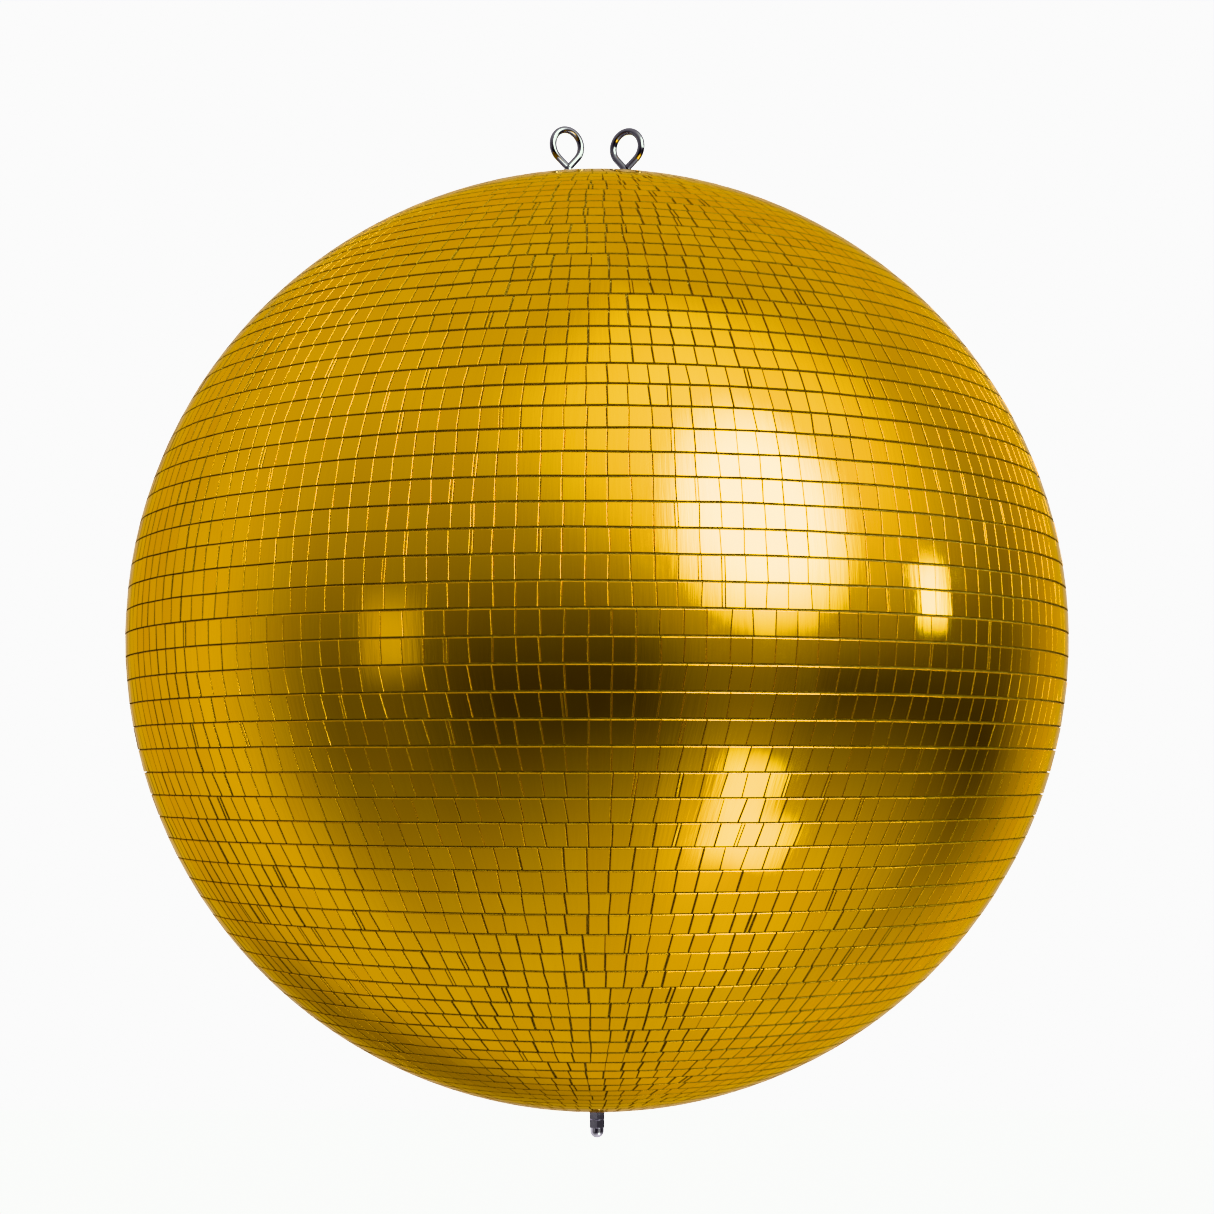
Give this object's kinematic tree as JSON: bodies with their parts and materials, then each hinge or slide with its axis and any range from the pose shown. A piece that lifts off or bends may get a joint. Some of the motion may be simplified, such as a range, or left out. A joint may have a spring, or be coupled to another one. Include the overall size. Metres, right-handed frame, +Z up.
{
  "type": "mirror ball",
  "caption": "Hanging mirror ball: small flat gold mirror tiles in level courses on a hollow moulded core, with a pair of wire eyes at the top and a domed nut at the bottom.",
  "frame": {"origin": "centre of the ball", "axes": "+Z up the axis the ball hangs and turns on, +X from the left eye to the right eye"},
  "size_m": [0.4999, 0.5, 0.5476],
  "materials": {
    "mirror_glass": "polished gold back-silvered glass",
    "bedding": "matte adhesive on cloth",
    "core_plastic": "moulded, matte",
    "chromed_steel": "polished chrome",
    "zinc_steel": "bright zinc, lightly scuffed",
    "alloy_tube": "drawn, satin"
  },
  "bodies": {
    "ball": {"upper_core_shell": "core_plastic", "lower_core_shell": "core_plastic", "core_joining_ring": "core_plastic", "upper_bedding": "bedding", "lower_bedding": "bedding", "upper_mirror_band_01": "mirror_glass", "upper_mirror_band_02": "mirror_glass", "upper_mirror_band_03": "mirror_glass", "upper_mirror_band_04": "mirror_glass", "upper_mirror_band_05": "mirror_glass", "upper_mirror_band_06": "mirror_glass", "upper_mirror_band_07": "mirror_glass", "upper_mirror_band_08": "mirror_glass", "upper_mirror_band_09": "mirror_glass", "upper_mirror_band_10": "mirror_glass", "upper_mirror_band_11": "mirror_glass", "upper_mirror_band_12": "mirror_glass", "upper_mirror_band_13": "mirror_glass", "lower_mirror_band_01": "mirror_glass", "lower_mirror_band_02": "mirror_glass", "lower_mirror_band_03": "mirror_glass", "lower_mirror_band_04": "mirror_glass", "lower_mirror_band_05": "mirror_glass", "lower_mirror_band_06": "mirror_glass", "lower_mirror_band_07": "mirror_glass", "lower_mirror_band_08": "mirror_glass", "lower_mirror_band_09": "mirror_glass", "lower_mirror_band_10": "mirror_glass", "lower_mirror_band_11": "mirror_glass", "lower_mirror_band_12": "mirror_glass", "top_plate": "zinc_steel", "inner_top_plate": "zinc_steel", "inner_bottom_plate": "zinc_steel", "bottom_broad_washer": "zinc_steel", "centre_rod": "zinc_steel", "centre_spacer_tube": "alloy_tube", "rod_top_washer": "zinc_steel", "rod_top_spring_washer": "zinc_steel", "rod_top_nut": "zinc_steel", "bottom_washer": "zinc_steel", "bottom_nut": "chromed_steel", "bottom_cap_nut": "chromed_steel"},
    "left_eye": {"left_eye_bolt": "chromed_steel", "left_eye_nuts": "zinc_steel", "left_eye_washers": "zinc_steel"},
    "right_eye": {"right_eye_bolt": "chromed_steel", "right_eye_nuts": "zinc_steel", "right_eye_washers": "zinc_steel"}
  },
  "joints": [
    {"name": "left_eye_swivel", "type": "hinge", "parent": "ball", "child": "left_eye", "pos_m": [-0.0156, 0, 0.25], "axis": [0, 0, 1], "continuous": true},
    {"name": "right_eye_swivel", "type": "hinge", "parent": "ball", "child": "right_eye", "pos_m": [0.0156, 0, 0.25], "axis": [0, 0, 1], "continuous": true}
  ]
}
